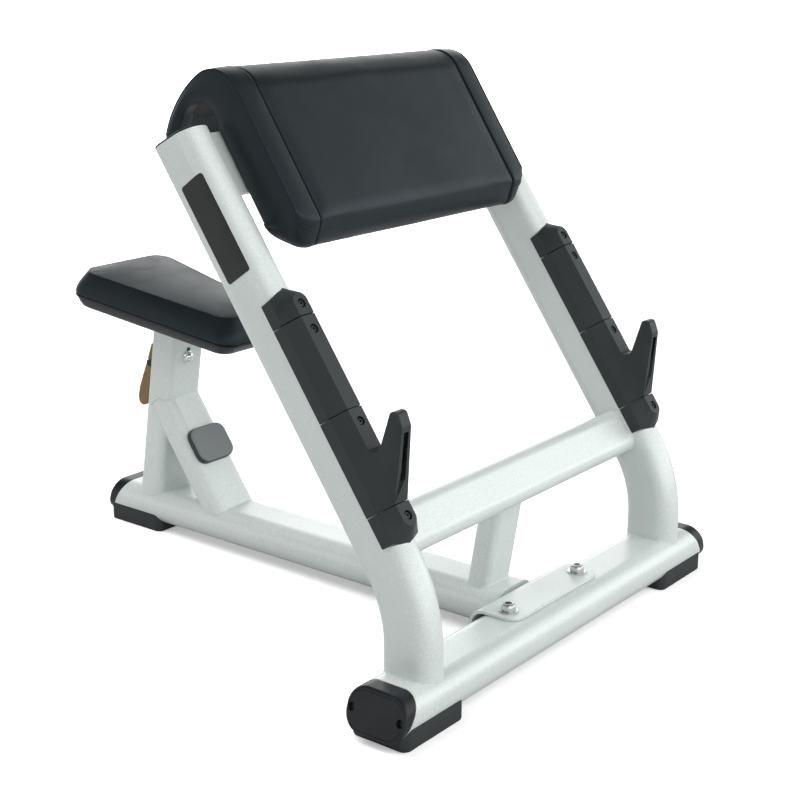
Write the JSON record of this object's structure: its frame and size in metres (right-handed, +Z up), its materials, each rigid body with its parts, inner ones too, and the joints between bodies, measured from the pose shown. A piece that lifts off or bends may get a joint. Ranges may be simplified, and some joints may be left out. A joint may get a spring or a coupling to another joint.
{
  "type": "preacher bench",
  "caption": "Preacher curl bench: leaning tube uprights with bar hooks and a padded arm rest, joined by a spine to a padded seat on a telescoping post with a squeeze-lever lock.",
  "frame": {"origin": "on the floor, under the centre of the outline", "axes": "+X across the front beam, +Y from the front beam back to the seat, +Z up"},
  "size_m": [0.9306, 1.0854, 0.941],
  "materials": {
    "silver_paint": "silver metallic powder coat, fine speckle, satin",
    "black_plastic": "moulded, satin, fine grain",
    "foot_rubber": "moulded, dull",
    "guard_plastic": "moulded urethane, satin",
    "zinc_steel": "bright zinc plate",
    "black_steel": "black oxide, satin",
    "chrome_steel": "polished chrome",
    "black_paint": "black powder coat",
    "lever_bronze": "bronze metallic coat, satin",
    "spring_steel": "oiled spring wire",
    "badge_grey": "moulded, satin",
    "black_board": "plywood, painted black",
    "pad_vinyl": "grained upholstery vinyl, satin"
  },
  "bodies": {
    "bench_frame": {"front_beam": "silver_paint", "spine_tube": "silver_paint", "left_upright": "silver_paint", "right_upright": "silver_paint", "cross_member": "silver_paint", "centre_strut": "silver_paint", "seat_post": "silver_paint", "seat_brace": "silver_paint", "spine_bracket": "silver_paint", "left_pad_bracket": "silver_paint", "right_pad_bracket": "silver_paint", "lock_pin_barrel": "silver_paint", "left_beam_cap": "black_plastic", "right_beam_cap": "black_plastic", "spine_cap": "black_plastic", "left_upright_cap": "black_plastic", "right_upright_cap": "black_plastic", "post_sleeve": "black_plastic", "left_foot": "foot_rubber", "right_foot": "foot_rubber", "rear_foot": "foot_rubber", "left_top_guard": "guard_plastic", "left_middle_guard": "guard_plastic", "left_bar_hook": "guard_plastic", "left_low_guard": "guard_plastic", "right_top_guard": "guard_plastic", "right_middle_guard": "guard_plastic", "right_bar_hook": "guard_plastic", "right_low_guard": "guard_plastic", "left_top_guard_screw": "black_steel", "left_middle_guard_screw": "black_steel", "left_hook_guard_screw": "black_steel", "left_low_guard_screw": "black_steel", "right_top_guard_screw": "black_steel", "right_middle_guard_screw": "black_steel", "right_hook_guard_screw": "black_steel", "right_low_guard_screw": "black_steel", "left_bracket_bolt": "zinc_steel", "left_bracket_washer": "zinc_steel", "left_low_pad_bolt": "zinc_steel", "left_high_pad_bolt": "zinc_steel", "right_bracket_bolt": "zinc_steel", "right_bracket_washer": "zinc_steel", "right_low_pad_bolt": "zinc_steel", "right_high_pad_bolt": "zinc_steel", "guide_bolt": "chrome_steel", "lever_bracket": "black_paint", "lever_pivot_pin": "black_paint", "brace_badge": "badge_grey", "arm_pad_board": "black_board", "arm_pad_cushion": "pad_vinyl"},
    "seat": {"inner_seat_post": "chrome_steel", "seat_plate": "silver_paint", "seat_pan": "black_plastic", "seat_cushion": "pad_vinyl", "front_seat_screw": "zinc_steel", "rear_seat_screw": "zinc_steel"},
    "lever": {"release_lever": "lever_bronze", "lever_spring": "spring_steel"},
    "lock_pin": {"locking_pin": "chrome_steel"}
  },
  "joints": [
    {"name": "seat_height", "type": "slide", "parent": "bench_frame", "child": "seat", "axis": [0, -0.165, 0.9863], "range_m": [0, 0.12]},
    {"name": "release_lever_pivot", "type": "hinge", "parent": "bench_frame", "child": "lever", "pos_m": [0, 0.44077, 0.33435], "axis": [-1, 0, 0], "range_deg": [0, 15], "stiffness_Nm_per_rad": 1.5, "springref_deg": -20.05},
    {"name": "locking_pin_slide", "type": "slide", "parent": "bench_frame", "child": "lock_pin", "axis": [0, 0.9863, 0.165], "range_m": [0, 0.0101]}
  ],
  "couplings": [
    {"joint": "locking_pin_slide", "follows": "release_lever_pivot", "m_per_rad": 0.0385}
  ]
}
